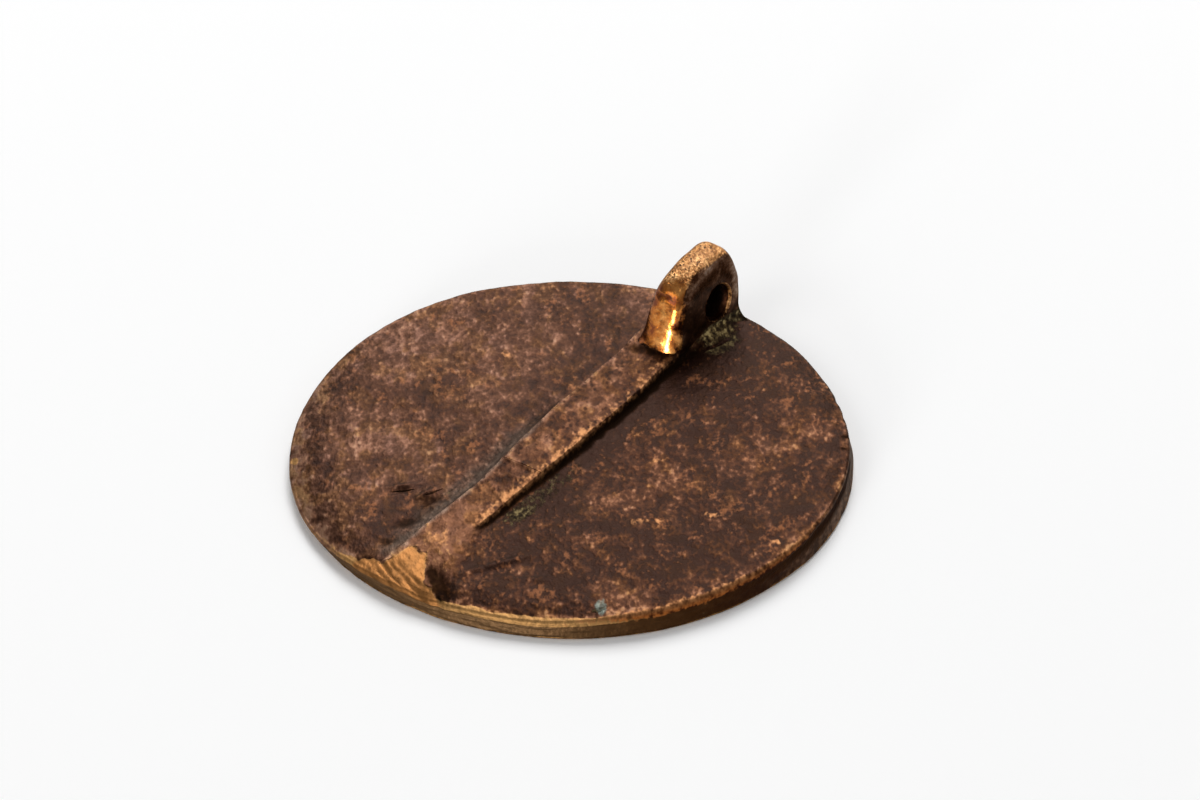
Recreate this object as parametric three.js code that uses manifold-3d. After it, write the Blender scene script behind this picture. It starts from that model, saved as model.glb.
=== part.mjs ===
// A flat round seal matrix of copper alloy, lying on its engraved die face.
// Millimetres, +Z up. The origin is the middle of the die face, and +Y points from there to the lug.
import * as THREE from 'three';
import { mergeVertices } from 'three/addons/utils/BufferGeometryUtils.js';
import Module from 'manifold-3d';

// Plate
const plateDiameter = 25.8; // mean of the hand-filed outline
const plateThickness = 1.2;
const rimFlare = 0.16; // how far the die edge stands out past the back edge
const backEdgeRound = 0.14;
const dieEdgeRound = 0.1;
const handFiling = 0.1; // how far the outline swells and sinks, four times round
const handFilingTurn = 34.5; // degrees from +X to the first swelling

// Design cut into the die face
const engravingDepth = 0.42;
const rimLand = 0.75; // uncut edge outside the outer border
const borderWidth = 0.34;
const legendWidth = 2.4; // band between the two borders
const legendCells = 24;
const lozengeWidth = 1.1;
const pelletDiameter = 0.8;
const pelletRingInset = 0.95; // from the inner border to the middle of the pellets between the petals
const crossSpan = 1.9;
const crossRootWidth = 0.3;
const crossTipWidth = 0.8;
const petalCount = 8;
const petalLength = 5.0;
const petalWidth = 2.2;
const flowerEyeDiameter = 2.2;
const flowerEyeGroove = 0.45; // width of the ring cut round the flower's eye
const flowerGap = 0.5; // uncut metal between the eye and the petals

// Strip across the back
const ribOffset = -0.65; // the strip's centre line stands this far left of the plate's middle
const ribHeight = 0.42;
const ribWidthAtLug = 2.6;
const ribWidthAtCrease = 1.95;
const ribFlankLean = 0.1; // how far the right flank leans in over its height

// Filed run-out of the strip at the front rim
const toeLength = 9.2; // from the crease to the rim, along the strip
const toeFlareLength = 2.6; // last stretch, where the toe widens to the rim
const toeFlareLeft = 1.4;
const toeFlareRight = 0.9;
const toeTipHeight = 0.08;
const toeRimMargin = 0.12; // from the toe's tip to the plate's back edge

// Soft run of metal in the corner on the strip's left side
const ribFilletWidth = 1.0;
const ribFilletFrontWidth = 0.5;
const ribFilletDrop = 0.06; // from the strip's top down to the fillet's upper edge
const filletEdgeHeight = 0.04;

// Pierced lug
const lugLength = 4.85; // along the strip, at the foot
const lugRimMargin = 0.02; // from the lug's foot to the plate's back edge
const lugFrontHeight = 3.35;
const lugRearHeight = 3.92;
const lugFrontWidth = 1.85;
const lugRearWidth = 2.9;
const lugSkew = 0.25; // how far the lug's rear stands right of its front
const lugFrontLean = 1.1; // how far the front face leans back over its height
const lugRearBulge = 0.26; // how far the rear face swells out above its foot
const lugFrontNarrowing = 0.15; // how much narrower the crest is than the foot
const lugRearNarrowing = 0.7;
const lugTopRound = 0.42;
const lugCornerRound = 0.8; // 0 is a square corner, 1 is a round end
const cordHoleDiameter = 1.6;
const cordHoleHeight = 1.65; // centre above the plate's back
const cordHoleFromRear = 1.35; // centre from the lug's rear, at the foot
const countersinkWidth = 0.17;
const countersinkDepth = 0.3;

// Runs of metal at the lug's foot
const footFilletHeight = 0.75;
const footFilletWidthRight = 0.75;
const footFilletWidthLeft = 0.6;
const footFilletMargin = 0.35; // from its ends to the lug's front and rear

// Levels and places that follow from the sizes above
const plateRadius = plateDiameter / 2;
const backRadius = plateRadius - rimFlare;
const backLevel = plateThickness;
const lugRearY = flatEdgeY(ribOffset, lugRimMargin);
const lugFrontY = lugRearY - lugLength;
const creaseY = toeLength - flatEdgeY(ribOffset, toeRimMargin);
const outerBorderRadius = plateRadius - rimLand - borderWidth;
const innerBorderRadius = outerBorderRadius - legendWidth - borderWidth;
const legendRadius = outerBorderRadius - legendWidth / 2;

// Facets and cutters
const ROUND_STEPS = 96;
const HOLE_STEPS = 28;
const LUG_FOOT_CELLS = 2;
const LUG_WALL_CELLS = 6;
const LUG_TOP_CELLS = 4;
const ARC_STEPS = 3;
const CUT_OVERLAP = 0.02; // how far a cutter stands out of the face that it cuts

const wasm = await Module();
wasm.setup();

// The outline's radius as a share of the true circle's, at an angle round the plate.
function outlineShare(angle) {
  return 1 + (handFiling / plateRadius) * Math.cos(4 * (angle - THREE.MathUtils.degToRad(handFilingTurn)));
}

// How far out the plate's flat back reaches along +Y at x, less a margin.
function flatEdgeY(x, margin) {
  const lowest = backRadius - backEdgeRound - handFiling - margin;
  return Math.sqrt(lowest * lowest - x * x);
}

function mix(from, to, share) {
  return from + (to - from) * share;
}

// Position alone, with shared corners merged, so that the surface is closed.
function welded(geometry) {
  geometry.deleteAttribute('normal');
  geometry.deleteAttribute('uv');
  return mergeVertices(geometry, 1e-4);
}

// A gridded box bent into shape. place(a, b, c) puts each corner: a and b run from -1 to 1, c from 0 to 1.
function bentBox(cellsA, cellsB, cellsC, place) {
  const box = new THREE.BoxGeometry(2, 2, 1, cellsA, cellsB, cellsC);
  const corners = box.getAttribute('position');
  for (let i = 0; i < corners.count; i++) {
    corners.setXYZ(i, ...place(corners.getX(i), corners.getY(i), corners.getZ(i) + 0.5));
  }
  return welded(box);
}

function toSolid(geometry) {
  const merged = welded(geometry.clone());
  const vertProperties = merged.getAttribute('position').array;
  const triVerts = new Uint32Array(merged.index.array);
  return new wasm.Manifold(new wasm.Mesh({ numProp: 3, vertProperties, triVerts }));
}

function toGeometry(solid) {
  const { vertProperties, triVerts } = solid.getMesh();
  const geometry = new THREE.BufferGeometry();
  geometry.setAttribute('position', new THREE.BufferAttribute(vertProperties, 3));
  geometry.setIndex(new THREE.BufferAttribute(triVerts, 1));
  geometry.computeVertexNormals();
  return geometry;
}

// The first geometry with each of the others cut away.
function cutAway(geometry, cutters) {
  let solid = toSolid(geometry);
  for (const cutter of cutters) solid = solid.subtract(toSolid(cutter));
  return toGeometry(solid);
}

// Points of a quarter round from one profile point to another, bulging towards the corner.
function quarterRound(centre, radius, fromAngle, toAngle) {
  const points = [];
  for (let i = 0; i <= ARC_STEPS; i++) {
    const angle = mix(fromAngle, toAngle, i / ARC_STEPS);
    const out = new THREE.Vector2(Math.cos(angle), Math.sin(angle));
    points.push(out.multiplyScalar(radius).add(centre));
  }
  return points;
}

// A flat-bottomed border groove in the die face, as profile points from its inner side to its outer.
function borderGroove(innerRadius) {
  const slope = borderWidth / 4;
  return [
    new THREE.Vector2(innerRadius, 0),
    new THREE.Vector2(innerRadius + slope, engravingDepth),
    new THREE.Vector2(innerRadius + borderWidth - slope, engravingDepth),
    new THREE.Vector2(innerRadius + borderWidth, 0),
  ];
}

// The plate before its design is cut: turned from a profile that runs out along the die face and back.
function plateBlank() {
  const dieCorner = new THREE.Vector2(plateRadius - dieEdgeRound, dieEdgeRound);
  const backCorner = new THREE.Vector2(backRadius - backEdgeRound, backLevel - backEdgeRound);
  const profile = [
    new THREE.Vector2(0, 0),
    ...borderGroove(innerBorderRadius),
    ...borderGroove(outerBorderRadius),
    ...quarterRound(dieCorner, dieEdgeRound, -Math.PI / 2, 0),
    ...quarterRound(backCorner, backEdgeRound, 0, Math.PI / 2),
    new THREE.Vector2(0, backLevel),
  ];
  const blank = new THREE.LatheGeometry(profile, ROUND_STEPS);
  blank.rotateX(Math.PI / 2);
  const points = blank.getAttribute('position');
  for (let i = 0; i < points.count; i++) {
    const share = outlineShare(Math.atan2(points.getY(i), points.getX(i)));
    points.setXY(i, points.getX(i) * share, points.getY(i) * share);
  }
  return welded(blank);
}

// Moves a cutter out from the middle of the die face, towards an angle counted from the lug.
function placeOnDie(cutter, radius, angle) {
  cutter.translate(0, radius, 0);
  cutter.rotateZ(angle);
  return cutter;
}

// An almond-shaped hollow of one petal, pointing outwards.
function petalCutter(angle) {
  const petal = new THREE.SphereGeometry(0.5, 14, 8);
  petal.scale(petalWidth, petalLength, 2 * engravingDepth);
  return placeOnDie(petal, flowerEyeDiameter / 2 + flowerGap + petalLength / 2, angle);
}

function pelletCutter(radius, angle) {
  const pellet = new THREE.SphereGeometry(pelletDiameter / 2, 10, 6);
  return placeOnDie(pellet, radius, angle);
}

function lozengeCutter(angle) {
  const height = engravingDepth + CUT_OVERLAP;
  const lozenge = new THREE.ConeGeometry(lozengeWidth / 2, height, 4, 1);
  lozenge.rotateX(Math.PI / 2);
  lozenge.translate(0, 0, height / 2 - CUT_OVERLAP);
  return placeOnDie(lozenge, legendRadius, angle);
}

// One flaring arm of a small cross, from its middle.
function crossArm(turn) {
  const outline = new THREE.Shape();
  outline.moveTo(-crossRootWidth / 2, 0);
  outline.lineTo(crossRootWidth / 2, 0);
  outline.lineTo(crossTipWidth / 2, crossSpan / 2);
  outline.lineTo(-crossTipWidth / 2, crossSpan / 2);
  outline.closePath();
  const arm = new THREE.ExtrudeGeometry(outline, { depth: 2 * engravingDepth, bevelEnabled: false });
  arm.translate(0, 0, -engravingDepth);
  arm.rotateZ(turn);
  return placeOnDie(arm, legendRadius, 0);
}

// Everything that is cut into the die face besides its two borders.
function dieDesign() {
  const cutters = [];
  for (let i = 0; i < petalCount; i++) {
    const angle = (2 * Math.PI * i) / petalCount;
    cutters.push(petalCutter(angle));
    cutters.push(pelletCutter(innerBorderRadius - pelletRingInset, angle + Math.PI / petalCount));
  }
  for (let i = 0; i < 4; i++) cutters.push(crossArm((Math.PI / 2) * i));
  for (let i = 1; i < legendCells; i++) {
    const angle = (2 * Math.PI * i) / legendCells;
    cutters.push(i % 2 ? lozengeCutter(angle) : pelletCutter(legendRadius, angle));
  }
  cutters.push(new THREE.TorusGeometry((flowerEyeDiameter - flowerEyeGroove) / 2, flowerEyeGroove / 2, 8, 24));
  return cutters;
}

function diePlate() {
  return cutAway(plateBlank(), dieDesign());
}

// Half the strip's width at a place along it, before the toe flares.
function stripHalfWidth(y) {
  const share = (y - creaseY) / (lugFrontY - creaseY);
  return mix(ribWidthAtCrease, ribWidthAtLug, share) / 2;
}

function backRib() {
  return bentBox(2, 8, 1, (a, b, c) => {
    const y = mix(creaseY, lugFrontY, (b + 1) / 2);
    const lean = a > 0 ? ribFlankLean * c : 0;
    const x = ribOffset + a * (stripHalfWidth(y) - lean);
    return [x, y, backLevel + ribHeight * c];
  });
}

// How much of its full flare the toe has at a distance out from the crease.
function flareShare(distance) {
  const share = Math.max(0, (distance - toeLength + toeFlareLength) / toeFlareLength);
  return share * share;
}

// The strip's height at a share of the way from the crease to the rim.
function toeHeight(out) {
  return mix(ribHeight, toeTipHeight, out);
}

// The toe thins from the crease to the rim, where it flares and its tip follows the plate's edge.
function ribFiledToe() {
  return bentBox(6, 14, 1, (a, b, c) => {
    const out = (1 - b) / 2;
    const straightY = creaseY - toeLength * out;
    const flare = flareShare(toeLength * out) * (a > 0 ? toeFlareRight : toeFlareLeft);
    const lean = a > 0 ? ribFlankLean * c * (1 - out) : 0;
    const x = ribOffset + a * (stripHalfWidth(straightY) + flare - lean);
    const overshoot = straightY - mix(creaseY, -flatEdgeY(x, toeRimMargin), out);
    return [x, straightY - overshoot * flareShare(toeLength * out), backLevel + toeHeight(out) * c];
  });
}

// Height of a hollow-curved fillet at a share of its width from the wall it leans on.
function hollowCurve(height, share) {
  return mix(height, filletEdgeHeight, 1 - (1 - share) * (1 - share));
}

// The fillet runs along the strip's left side, from the lug to where the toe flares.
function ribFillet() {
  const frontY = creaseY - toeLength + toeFlareLength;
  return bentBox(5, 18, 1, (a, b, c) => {
    const y = mix(frontY, lugFrontY, (b + 1) / 2);
    const share = (1 - a) / 2;
    const width = mix(ribFilletFrontWidth, ribFilletWidth, (b + 1) / 2);
    const x = ribOffset - stripHalfWidth(y) - width * share;
    const height = toeHeight(Math.max(0, (creaseY - y) / toeLength)) - ribFilletDrop;
    return [x, y, backLevel + c * hollowCurve(height, share)];
  });
}

// Where the lug's front and rear faces and its flanks stand at its foot.
function lugMiddleX(y) {
  return ribOffset + lugSkew * ((y - lugFrontY) / lugLength);
}

function lugHalfWidth(y) {
  return mix(lugFrontWidth, lugRearWidth, (y - lugFrontY) / lugLength) / 2;
}

// How far up the lug's three stretches a level lies: upright foot, leaning walls, round top.
function lugStretches(level) {
  const reached = (cells, below) => THREE.MathUtils.clamp((level - below) / cells, 0, 1);
  const upright = reached(LUG_FOOT_CELLS, 0);
  const leaning = reached(LUG_WALL_CELLS, LUG_FOOT_CELLS);
  const turn = reached(LUG_TOP_CELLS, LUG_FOOT_CELLS + LUG_WALL_CELLS) * (Math.PI / 2);
  return { upright, leaning, turn };
}

// The lug stands on its foot with upright walls, then leans in and rounds over into a sloping crest.
function lugBlank() {
  const cells = LUG_FOOT_CELLS + LUG_WALL_CELLS + LUG_TOP_CELLS;
  const footHeight = Math.max(footFilletHeight, ribHeight);
  return bentBox(8, 14, cells, (a, b, c) => {
    const { upright, leaning, turn } = lugStretches(Math.round(c * cells));
    const rounding = (lugCornerRound * leaning) / 2;
    const across = a * Math.sqrt(1 - rounding * b * b);
    const along = b * Math.sqrt(1 - rounding * a * a * (lugFrontWidth / lugLength));
    const inset = lugTopRound * (1 - Math.cos(turn));
    const front = lugFrontY + lugFrontLean * leaning + inset;
    const rear = lugRearY + lugRearBulge * Math.sin((3 / 4) * Math.PI * leaning) - inset;
    const y = mix(front, rear, (along + 1) / 2);
    const rearShare = (y - lugFrontY) / lugLength;
    const narrowing = mix(lugFrontNarrowing, lugRearNarrowing, rearShare) * leaning ** 4;
    const halfWidth = lugHalfWidth(y) - narrowing / 2 - inset;
    const wallHeight = mix(lugFrontHeight, lugRearHeight, rearShare) - lugTopRound - footHeight;
    const height = footHeight * upright + wallHeight * leaning + lugTopRound * Math.sin(turn);
    return [lugMiddleX(y) + across * halfWidth, y, backLevel + height];
  });
}

// The cord hole runs across the lug and opens out a little at both flanks.
function cordHoleCutters() {
  const reach = lugRearWidth;
  const y = lugRearY - cordHoleFromRear;
  const z = backLevel + cordHoleHeight;
  const drill = new THREE.CylinderGeometry(cordHoleDiameter / 2, cordHoleDiameter / 2, 2 * reach, HOLE_STEPS);
  const cutters = [drill.rotateZ(Math.PI / 2).translate(lugMiddleX(y), y, z)];
  for (const side of [-1, 1]) {
    const narrow = cordHoleDiameter / 2;
    const wide = narrow + (countersinkWidth * (countersinkDepth + reach)) / countersinkDepth;
    const cone = new THREE.CylinderGeometry(wide, narrow, countersinkDepth + reach, HOLE_STEPS);
    cone.translate(0, (countersinkDepth + reach) / 2, 0);
    cone.rotateZ((-side * Math.PI) / 2);
    const start = lugHalfWidth(y) - countersinkDepth;
    cutters.push(cone.translate(lugMiddleX(y) + side * start, y, z));
  }
  return cutters;
}

function suspensionLug() {
  return cutAway(lugBlank(), cordHoleCutters());
}

// A hollow-curved run of metal along one flank of the lug's foot.
function lugFillet(side, width) {
  return bentBox(4, 8, 1, (a, b, c) => {
    const y = mix(lugFrontY + footFilletMargin, lugRearY - footFilletMargin, (b + 1) / 2);
    const out = (1 + side * a) / 2;
    const flank = lugMiddleX(y) + side * lugHalfWidth(y);
    const x = flank + side * width * out;
    return [x, y, backLevel + c * hollowCurve(footFilletHeight, out)];
  });
}

const patina = { color: 0x5a3d2e, roughness: 0.55, metalness: 0.8 };
const wornMetal = { color: 0xa9743f, roughness: 0.35, metalness: 1.0 };
const crust = { color: 0x5c5a40, roughness: 0.8, metalness: 0.3 };

const matrix = new THREE.Group();

function addPiece(name, geometry, look) {
  const piece = new THREE.Mesh(geometry, new THREE.MeshStandardMaterial(look));
  piece.name = name;
  matrix.add(piece);
}

addPiece('die_plate', diePlate(), patina);
addPiece('back_rib', backRib(), patina);
addPiece('rib_filed_toe', ribFiledToe(), wornMetal);
addPiece('rib_fillet', ribFillet(), crust);
addPiece('suspension_lug', suspensionLug(), wornMetal);
addPiece('lug_fillet_right', lugFillet(1, footFilletWidthRight), crust);
addPiece('lug_fillet_left', lugFillet(-1, footFilletWidthLeft), crust);

export default matrix;
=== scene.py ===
"""A round copper-alloy seal matrix, lying on its die face with its strip and pierced lug upwards.

Shapes are worked out in millimetres, with +Z up and +Y towards the lug, and laid into meshes in metres.
"""
import math

import bpy
import numpy as np
from mathutils import Matrix, Vector


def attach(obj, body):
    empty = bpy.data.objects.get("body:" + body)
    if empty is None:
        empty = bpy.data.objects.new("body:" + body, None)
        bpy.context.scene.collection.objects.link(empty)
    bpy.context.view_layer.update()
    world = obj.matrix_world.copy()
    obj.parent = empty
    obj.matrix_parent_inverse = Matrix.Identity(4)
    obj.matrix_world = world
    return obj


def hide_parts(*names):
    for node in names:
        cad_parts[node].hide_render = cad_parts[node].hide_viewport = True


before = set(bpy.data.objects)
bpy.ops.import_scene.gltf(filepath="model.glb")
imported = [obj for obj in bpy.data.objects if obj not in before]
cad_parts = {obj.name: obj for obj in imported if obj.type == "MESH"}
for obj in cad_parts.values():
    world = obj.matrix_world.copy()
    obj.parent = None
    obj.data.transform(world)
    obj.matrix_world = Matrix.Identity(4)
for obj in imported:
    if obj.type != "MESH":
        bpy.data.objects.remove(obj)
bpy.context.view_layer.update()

MM = 0.001

# How far the photograph's view is turned round the object. Readings of the rim count their
# degrees from the right of that view.
VIEW_DEGREES = 34.5
VIEW_TURN = math.radians(VIEW_DEGREES)

# Plate: the level of its back, how it tilts per mm to the right of the view and away from it, over
# what width it falls to the rim, and the rounding of its two edges
BACK_LEVEL = 1.2
TILT_RIGHT, TILT_AWAY = 0.01, 0.014
FALL_WIDTH = 2.4
EDGE_ROUND = 0.13
LOWER_ROUND = 0.1

# Noise along the rim is read on a circle of this radius
NOISE_CIRCLE = 13

# The upper edge: degrees, height, radius
UPPER_EDGE = np.array([
    (0, 1.15, 12.72), (20, 1.12, 12.72), (40, 1.3, 12.85), (60, 1.36, 12.85), (100, 1.34, 12.8),
    (120, 1.33, 12.8), (140, 1.12, 12.78), (155, 0.9, 12.72), (170, 0.8, 12.76),
    (185, 0.65, 12.86), (200, 0.5, 12.98), (212, 0.5, 13.0), (222, 0.74, 12.86),
    (232, 0.92, 12.82), (245, 0.78, 12.78), (265, 0.74, 12.83), (275, 0.85, 12.83),
    (285, 1.0, 12.82), (300, 1.08, 12.74), (320, 1.14, 12.66), (340, 1.16, 12.62),
])

# The lower edge: degrees, radius
LOWER_EDGE = np.array([
    (0, 12.92), (60, 12.9), (120, 12.9), (180, 12.75), (195, 12.7), (210, 12.78), (235, 12.87),
    (265, 12.97), (285, 13.0), (310, 12.86), (330, 12.88),
])

# How far the rim is worn bright: degrees, share, width of the wear
RIM_WEAR = np.array([
    (0, 0.2, 0.14), (30, 0.2, 0.12), (60, 0.2, 0.1), (90, 0.1, 0.1), (130, 0.1, 0.1),
    (165, 0.18, 0.2), (185, 0.22, 0.26), (215, 0.42, 0.3), (226, 0.9, 0.26), (250, 0.98, 0.28),
    (272, 0.85, 0.26), (284, 0.45, 0.2), (320, 0.22, 0.16), (345, 0.2, 0.14),
])

# Paler copper near the rim: degrees, how much of it, width of the band
RIM_COPPER = np.array([
    (0, 0.2, 0.25), (60, 0.1, 0.2), (140, 0.2, 0.4), (160, 0.36, 0.9), (185, 0.34, 0.9),
    (198, 0.38, 0.8), (206, 0.44, 0.5), (222, 0.36, 0.4), (235, 0.34, 0.45), (270, 0.4, 0.45),
    (284, 0.38, 0.4), (300, 0.34, 0.3), (330, 0.36, 0.34), (345, 0.26, 0.3),
])

# Dents and ridges of the back: height, place, half sizes, turn in degrees
DENTS = [
    (-0.08, (-4.15, -7.25), (0.55, 0.12), 46), (0.08, (-4.4, -7.0), (0.6, 0.14), 46),
    (0.13, (-3.2, -6.92), (0.55, 0.16), 78), (-0.1, (-2.72, -7.15), (0.42, 0.2), 80),
    (-0.08, (-2.7, -9.1), (0.6, 0.24), 62), (-0.07, (-2.55, -10.6), (0.45, 0.22), 55),
    (-0.2, (0.95, -11.6), (1.25, 0.42), -36), (0.06, (0.95, -12.05), (0.2, 0.14), 20),
    (0.07, (2.45, -9.1), (1.4, 0.17), 57), (-0.05, (2.8, -9.5), (1.4, 0.28), 57),
    (0.05, (4.3, -9.2), (0.7, 0.16), 30),
]

# Strip across the back: its middle line, its height, where the lug ends it, where the crease
# starts its toe, and the toe's length
STRIP_MIDDLE = -0.68
STRIP_HEIGHT = 0.42
LUG_FRONT_Y = 7.613
CREASE_Y = -3.163
TOE_LENGTH = 9.2

# The strip's upper edges: y, x
STRIP_RIGHT = np.array([
    (-11.5, 1.1), (-10.4, 1.0), (-9.8, 0.85), (-9.0, 0.42), (-8.4, 0.32), (-7.5, 0.35),
    (-6.5, 0.42), (-5.5, 0.44), (-4.6, 0.5), (-3.6, 0.56), (-2.6, 0.62), (-1.6, 0.68), (0.5, 0.71),
    (2.6, 0.77), (4.8, 0.77), (5.9, 0.72), (7.1, 0.67), (8.4, 0.64),
])
STRIP_LEFT = np.array([
    (-12.5, -2.05), (-10.7, -1.82), (-9.3, -1.78), (-7.9, -1.7), (-6.0, -1.52), (-3.6, -1.56),
    (-1.1, -1.72), (1.8, -1.8), (4.3, -1.78), (6.8, -1.84), (8.4, -1.95),
])

# The inner border of the toe's filed end: x, y
FILED_BORDER = np.array([
    (-3.1, -12.46), (-2.9, -11.85), (-1.95, -11.9), (-1.75, -11.65), (-1.6, -10.9),
    (-1.5, -10.35), (-0.55, -10.4), (-0.16, -11.1), (0.47, -11.97), (1.96, -12.66),
])

# Lug and its cord hole, whose mouth opens out at both flanks
LUG_MIDDLE = -0.4
LUG_LENGTH = 4.85
HOLE_Y = 11.113
HOLE_Z = 2.85
HOLE_RADIUS = 0.8
MOUTH_RADIUS = 0.97
MOUTH_DEPTH = 0.3

# The lug's outline seen from the side: y, z
LUG_CORNERS = np.array([
    (7.3, 1.0), (7.52, 1.45), (7.7, 1.95), (7.93, 2.6), (8.2, 3.3), (8.5, 3.95),
    (8.85, 4.38), (9.4, 4.71), (10.2, 4.93), (11.1, 5.12), (11.75, 5.22), (12.2, 5.13),
    (12.5, 4.76), (12.66, 4.15), (12.72, 3.5), (12.7, 2.8), (12.62, 2.1), (12.6, 1.55),
    (12.4, 0.95), (11.0, 0.9), (9.0, 0.9),
])

# Where the lug's bright wear ends at the right: y, x
LUG_BRIGHT = np.array([
    (7.5, 0.34), (8.1, 0.38), (8.6, 0.22), (9.3, 0.0), (9.9, 0.02), (10.65, 0.15), (11.4, 0.39),
    (11.9, 0.56), (12.4, 0.7),
])

# Level at which pieces that sit on the plate end inside it
SUNK_LEVEL = 0.9

# Die face: depth and half width of its cuts, and where they lie
CUT_DEPTH = 0.42
BORDER_RADII = (9.07, 11.81)
BORDER_HALF = 0.17
LEGEND_RADIUS = 10.61
LEGEND_SIGNS = 24
PELLET_RADIUS = 0.4
LOZENGE_HALF = 0.58
CROSS_ARM = 0.95
PETALS = 8
PETAL_MIDDLE, PETAL_LENGTH, PETAL_WIDTH = 4.1, 2.5, 1.1
INNER_PELLETS = 8.12
EYE_RADIUS, EYE_GROOVE = 0.875, 0.225

LATTICE_SIZE = 32
LATTICE = np.random.default_rng(11).random((LATTICE_SIZE,) * 3) * 2 - 1


def grain(x, y, z, size):
    """Smooth noise from -1 to 1: random levels on a lattice of this spacing, eased between its corners."""
    place = np.stack(np.broadcast_arrays(x, y, z), axis=-1) / size + 100.0
    corner = np.floor(place).astype(int)
    share = place - corner
    share = share**3 * (share * (share * 6 - 15) + 10)
    level = 0
    for step in np.ndindex(2, 2, 2):
        weight = np.prod(np.where(step, share, 1 - share), axis=-1)
        level = level + weight * LATTICE[tuple(np.moveaxis((corner + step) % LATTICE_SIZE, -1, 0))]
    return level


def ease(value, low, high):
    """0 below low, 1 above high, and a smooth S between them."""
    share = np.clip((value - low) / (high - low), 0, 1)
    return share * share * (3 - 2 * share)


def drop(value, low, high):
    """1 below low, 0 above high, and a smooth S between them."""
    return 1 - ease(value, low, high)


def between(value, low, full, fade, end):
    """0 below low, 1 from full to fade, 0 above the end, and a smooth S on both sides."""
    return ease(value, low, full) * drop(value, fade, end)


def mix(start, end, share):
    """The start at share 0, the end at share 1, and a straight line between them."""
    return start + (end - start) * share


def bell(value, middle, width):
    """1 in the middle, falling off as a bell to 0.37 at this width on both sides."""
    return np.exp(-(((value - middle) / width) ** 2))


def spot(x, y, at, size, turn=0.0):
    """A bell over an ellipse, from 1 in its middle: its two half sizes, its first axis turned from +X."""
    cos, sin = math.cos(math.radians(turn)), math.sin(math.radians(turn))
    along = ((x - at[0]) * cos + (y - at[1]) * sin) / size[0]
    across = ((y - at[1]) * cos - (x - at[0]) * sin) / size[1]
    return np.exp(-(along**2) - across**2)


def spots(x, y, listed):
    """The sum of listed spots, each given by its strength, place, half sizes and turn."""
    return sum(strength * spot(x, y, at, size, turn) for strength, at, size, turn in listed)


def along_list(value, readings):
    """A reading anywhere along a list: straight lines between them, averaged over 0.35 each way."""
    near = (-0.35, -0.12, 0.12, 0.35)
    return sum(np.interp(value + away, *readings.T) for away in near) / len(near)


def round_rim(angle, readings, column=1):
    """A reading anywhere round the rim: straight lines between them, averaged over 7 degrees each way."""
    degrees = np.degrees(angle - VIEW_TURN)
    listed, levels = readings[:, 0], readings[:, column]
    near = (-7, -3, 0, 3, 7)
    return sum(np.interp((degrees + away) % 360, listed, levels, period=360) for away in near) / len(near)


def sector(angle, middle, half_width):
    """1 at this many of the view's degrees round the plate, easing to 0 half a width away on both sides."""
    away = np.abs((np.degrees(angle - VIEW_TURN) - middle + 180) % 360 - 180)
    return drop(away, 0, half_width)


# Plate outline and back

def unevenness(angle, size, depth):
    """Small irregularities of the rim: noise read round a circle, so that it closes."""
    return depth * grain(NOISE_CIRCLE * np.cos(angle), NOISE_CIRCLE * np.sin(angle), 5.0, size)


def die_edge(angle):
    """Radius of the lower edge: its readings, with unevenness in two sizes."""
    return round_rim(angle, LOWER_EDGE) + unevenness(angle, 1.7, 0.025) + unevenness(angle, 0.5, 0.012)


def back_edge(angle):
    """Radius of the upper edge: its readings less three small chips, with unevenness in two sizes."""
    chips = 0.05 * sector(angle, 14.5, 2.0) + 0.04 * sector(angle, 9.0, 1.8) + 0.06 * sector(angle, 243, 1.6)
    edge = round_rim(angle, UPPER_EDGE, 2) - chips
    return edge + unevenness(angle, 1.1, 0.018) + unevenness(angle, 0.35, 0.008)


def plate_level(x, y):
    """The back as a tilted plane, which falls to the rim's height by the share of the way, power 2.5."""
    right = x * math.cos(VIEW_TURN) + y * math.sin(VIEW_TURN)
    away = y * math.cos(VIEW_TURN) - x * math.sin(VIEW_TURN)
    angle = np.arctan2(y, x)
    out = np.clip((np.hypot(x, y) - back_edge(angle) + FALL_WIDTH) / FALL_WIDTH, 0, 1)
    plane = BACK_LEVEL + TILT_RIGHT * right + TILT_AWAY * away
    return mix(plane, round_rim(angle, UPPER_EDGE), out**2.5)


def back_rise(x, y):
    """Height of the plate's back: its level, casting unevenness in four sizes, and the dents and ridges."""
    level = plate_level(x, y)
    for layer, (height, size) in enumerate(((0.04, 4.5), (0.03, 1.5), (0.016, 0.55), (0.009, 0.25)), 1):
        level = level + height * grain(x, y, layer, size)
    return level + spots(x, y, DENTS)


def filed_share(x, y):
    """1 on the filed end of the toe and 0 outside its uneven border. Beyond the border's ends it is 0."""
    inner = np.interp(x, *FILED_BORDER.T, left=-14, right=-14)
    return ease(inner - y + 0.12 * grain(x, y, 15.0, 0.3), -0.05, 0.14) * (y < -10)


def file_strokes(x, y):
    """The file's strokes, -1 to 1: ripples 0.34 mm apart among noise that is drawn out 7 times along them."""
    across = 0.927 * y + 0.375 * x + 0.08 * grain(x, y, 6.0, 1.1)
    along = (0.927 * x - 0.375 * y) / 7
    fade = np.clip(0.7 + 0.9 * grain(x, y, 6.5, 0.8), 0.1, 1.3)
    uneven = 1.1 * grain(across, along, 6.2, 0.24) + 0.6 * grain(across, along, 6.8, 0.11)
    return fade * np.clip(0.45 * np.sin(2 * math.pi * across / 0.34) + uneven, -1, 1)


def filed_cut(x, y):
    """How far the file took the metal down at the toe's end: a sloping cut to the rim, with its strokes."""
    return filed_share(x, y) * (0.04 + 0.03 * ease(-y, 10.6, 12.6) + 0.025 * file_strokes(x, y))


# Strip, toe and the run of metal at their left

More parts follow.
